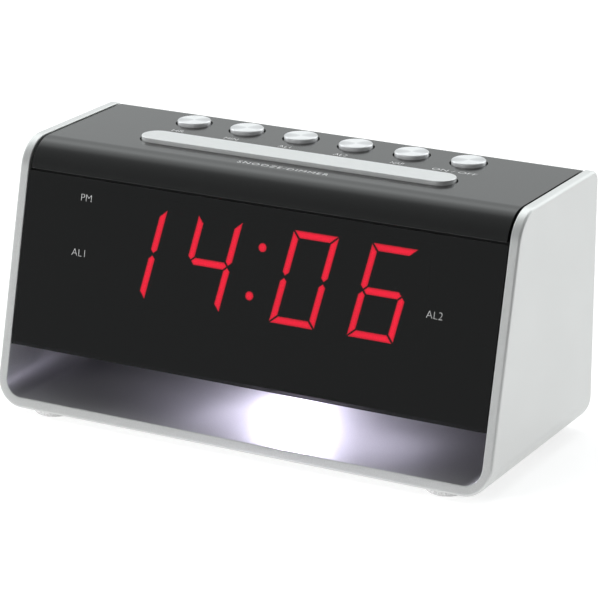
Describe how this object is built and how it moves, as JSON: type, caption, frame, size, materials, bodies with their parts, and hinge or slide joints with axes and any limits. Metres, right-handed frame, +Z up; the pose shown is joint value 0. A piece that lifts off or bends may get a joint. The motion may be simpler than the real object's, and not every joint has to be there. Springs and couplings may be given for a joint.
{
  "type": "clock radio",
  "caption": "Clock radio with a red digital display behind a leaning dark window, a U-shaped silver frame, a lit recess below, round keys and a snooze bar on top.",
  "frame": {"origin": "on the surface the feet stand on, under the middle of the cabinet's width and depth", "axes": "+X to the right seen from the front, -Y towards the front, +Z up"},
  "size_m": [0.19, 0.082, 0.0939],
  "materials": {
    "silver_frame": "sprayed with a fine matt metallic silver",
    "black_case": "fine spark texture",
    "dark_cover": "satin gloss",
    "black_cover": "fine spark texture",
    "tinted_window": "smoked acrylic, polished",
    "foot_rubber": "matt grey elastomer",
    "key_metal": "spun top, bright bevel",
    "bar_metal": "fine satin",
    "plunger_plastic": "moulded",
    "switch_steel": "stamped shell",
    "circuit_board": "green solder mask",
    "display_black": "moulded, painted face",
    "segment_red": "lit diffuser",
    "segment_dark": "unlit diffuser",
    "lens_clear": "clear, frosted face",
    "led_white": "lit",
    "tuner_tin": "tinned",
    "chip_black": "moulded epoxy",
    "capacitor_sleeve": "shrink sleeve",
    "heat_sink_aluminium": "mill finish",
    "socket_nylon": "natural nylon",
    "inlet_plastic": "moulded",
    "grommet_rubber": "matt",
    "speaker_steel": "zinc plated",
    "magnet_ferrite": "sintered",
    "cone_paper": "pressed pulp",
    "surround_cloth": "doped cloth",
    "gasket_fibre": "fibre",
    "cell_sleeve": "shrink sleeve",
    "contact_steel": "nickel plated",
    "ribbon_grey": "flat cable",
    "wire_red": "insulated",
    "screw_steel": "zinc plated"
  },
  "bodies": {
    "cabinet": {"u_frame": "silver_frame", "inner_case": "black_case", "top_cover": "dark_cover", "rear_cover": "black_cover", "display_window": "tinted_window", "foot_front_left": "foot_rubber", "foot_front_right": "foot_rubber", "foot_rear_left": "foot_rubber", "foot_rear_right": "foot_rubber", "switch_bodies": "switch_steel", "key_board": "circuit_board", "display_block": "display_black", "display_board": "circuit_board", "lit_segments": "segment_red", "unlit_segments": "segment_dark", "night_light_lens": "lens_clear", "night_light_led": "led_white", "night_light_board": "circuit_board", "main_board": "circuit_board", "tuner_can": "tuner_tin", "clock_chip": "chip_black", "capacitors": "capacitor_sleeve", "regulator": "chip_black", "heat_sink": "heat_sink_aluminium", "board_sockets": "socket_nylon", "dc_inlet": "inlet_plastic", "aerial_grommet": "grommet_rubber", "speaker_basket": "speaker_steel", "speaker_magnet": "magnet_ferrite", "speaker_yoke": "speaker_steel", "speaker_surround": "surround_cloth", "speaker_gasket": "gasket_fibre", "backup_cells": "cell_sleeve", "battery_springs": "contact_steel", "battery_plates": "contact_steel", "display_ribbon": "ribbon_grey", "key_ribbon": "ribbon_grey", "speaker_wires": "wire_red", "frame_screws": "screw_steel", "rear_screws": "screw_steel", "board_screws": "screw_steel", "speaker_screws": "screw_steel"},
    "hour_key": {"hour_button": "key_metal", "hour_plunger": "plunger_plastic"},
    "minute_key": {"minute_button": "key_metal", "minute_plunger": "plunger_plastic"},
    "alarm_1_key": {"alarm_1_button": "key_metal", "alarm_1_plunger": "plunger_plastic"},
    "alarm_2_key": {"alarm_2_button": "key_metal", "alarm_2_plunger": "plunger_plastic"},
    "sleep_key": {"sleep_button": "key_metal", "sleep_plunger": "plunger_plastic"},
    "power_key": {"power_button": "key_metal", "power_plunger": "plunger_plastic"},
    "snooze_key": {"snooze_bar": "bar_metal", "snooze_plungers": "plunger_plastic"},
    "door": {"battery_door": "silver_frame"},
    "cone": {"speaker_cone": "cone_paper"}
  },
  "joints": [
    {"name": "hour_press", "type": "slide", "parent": "cabinet", "child": "hour_key", "axis": [0, 0, -1], "range_m": [0, 0.0007], "stiffness_N_per_m": 2000, "springref_m": -0.0003},
    {"name": "minute_press", "type": "slide", "parent": "cabinet", "child": "minute_key", "axis": [0, 0, -1], "range_m": [0, 0.0007], "stiffness_N_per_m": 2000, "springref_m": -0.0003},
    {"name": "alarm_1_press", "type": "slide", "parent": "cabinet", "child": "alarm_1_key", "axis": [0, 0, -1], "range_m": [0, 0.0007], "stiffness_N_per_m": 2000, "springref_m": -0.0003},
    {"name": "alarm_2_press", "type": "slide", "parent": "cabinet", "child": "alarm_2_key", "axis": [0, 0, -1], "range_m": [0, 0.0007], "stiffness_N_per_m": 2000, "springref_m": -0.0003},
    {"name": "sleep_press", "type": "slide", "parent": "cabinet", "child": "sleep_key", "axis": [0, 0, -1], "range_m": [0, 0.0007], "stiffness_N_per_m": 2000, "springref_m": -0.0003},
    {"name": "power_press", "type": "slide", "parent": "cabinet", "child": "power_key", "axis": [0, 0, -1], "range_m": [0, 0.0007], "stiffness_N_per_m": 2000, "springref_m": -0.0003},
    {"name": "snooze_press", "type": "slide", "parent": "cabinet", "child": "snooze_key", "axis": [0, 0, -1], "range_m": [0, 0.0007], "stiffness_N_per_m": 3000, "springref_m": -0.0003},
    {"name": "door_hinge", "type": "hinge", "parent": "cabinet", "child": "door", "pos_m": [-0.0635, 0.025, 0.0022], "axis": [0, 1, 0], "range_deg": [0, 75]},
    {"name": "cone_travel", "type": "slide", "parent": "cabinet", "child": "cone", "axis": [0, 1, 0], "range_m": [-0.0005, 0.0005], "stiffness_N_per_m": 1500}
  ]
}
